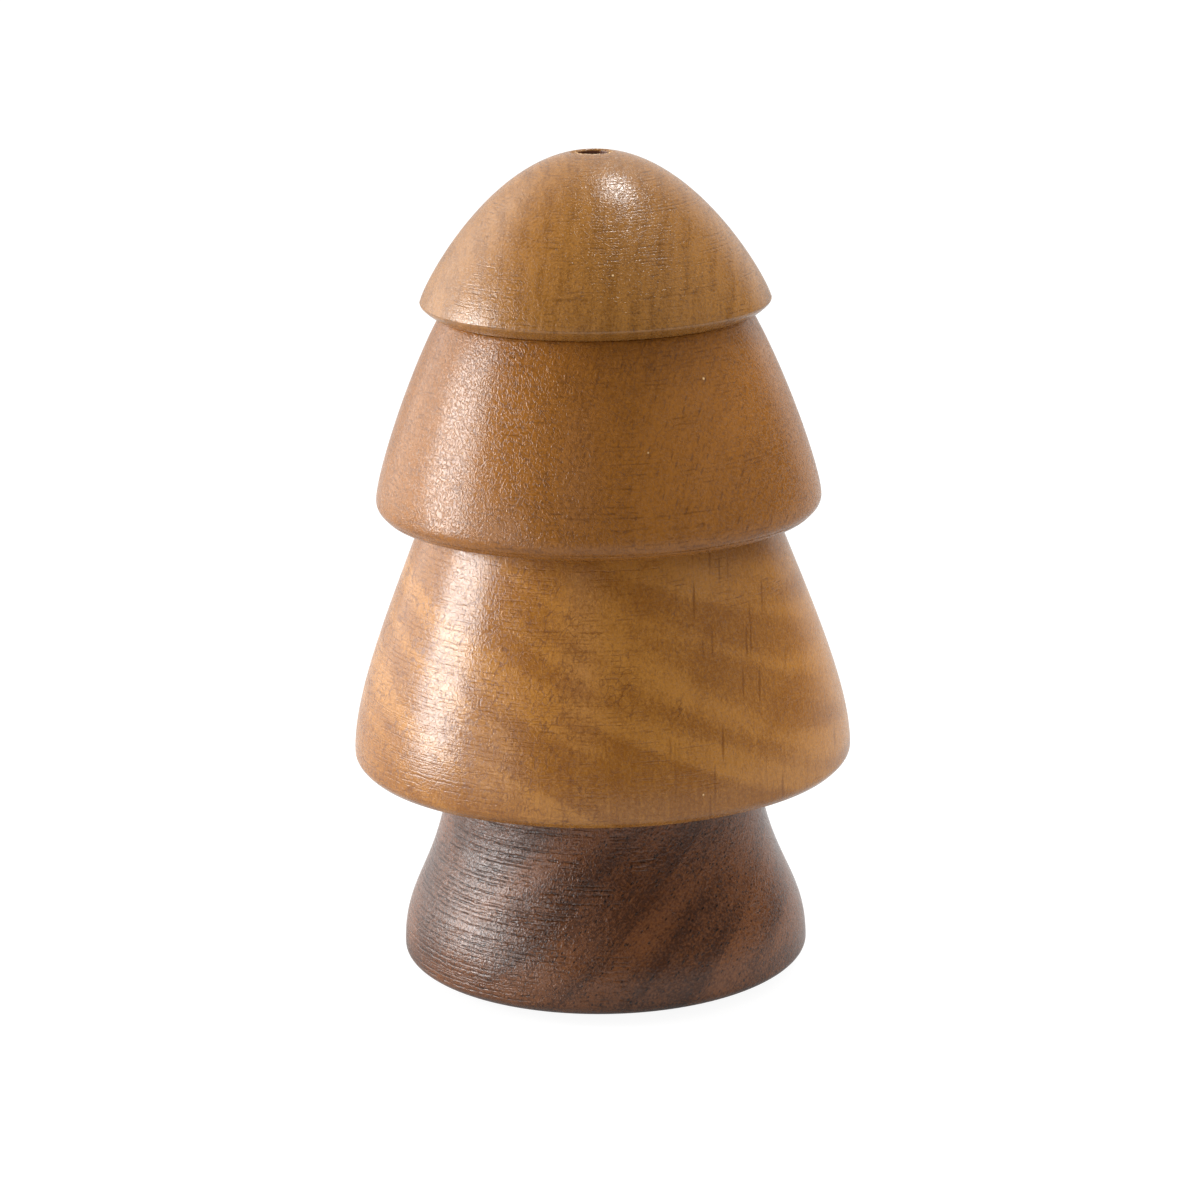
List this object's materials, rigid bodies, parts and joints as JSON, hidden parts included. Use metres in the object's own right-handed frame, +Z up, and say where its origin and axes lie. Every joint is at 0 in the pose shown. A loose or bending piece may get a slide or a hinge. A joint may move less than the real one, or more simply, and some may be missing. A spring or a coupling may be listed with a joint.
{
  "type": "toothpick dispenser",
  "caption": "Turned wooden tree on a flared trunk that lets one toothpick at a time out of its top; the crown turns and lifts off a ringed collar for filling.",
  "frame": {"origin": "middle of the foot pad's flat underside, where the dispenser stands", "axes": "+Z up along the turning axis, from the pad to the outlet hole; X and Y are alike, because every piece is turned round Z"},
  "size_m": [0.0594, 0.0594, 0.0984],
  "materials": {
    "golden_beech": "satin oiled beech, yellow-brown, fine lathe lines",
    "brown_beech": "satin oiled beech, orange-brown, slanting flecks",
    "amber_beech": "satin oiled beech, amber with broad slanting figure",
    "walnut": "satin oiled walnut, dark brown with short open pores",
    "bare_beech": "unfinished sanded beech",
    "silicone": "translucent soft silicone, satin",
    "cork": "fine-grained sheet cork, matt"
  },
  "bodies": {
    "base": {"foot_pad": "cork", "trunk_base": "walnut", "plug_collar": "bare_beech"},
    "seal": {"grip_ring": "silicone"},
    "crown": {"lower_tier": "amber_beech", "middle_tier": "brown_beech", "top_tier": "golden_beech"}
  },
  "joints": [
    {"name": "crown_turn", "type": "hinge", "parent": "base", "child": "seal", "pos_m": [0, 0, 0.0309], "axis": [0, 0, 1], "continuous": true},
    {"name": "crown_lift", "type": "slide", "parent": "seal", "child": "crown", "axis": [0, 0, 1], "range_m": [0, 0.08]}
  ]
}
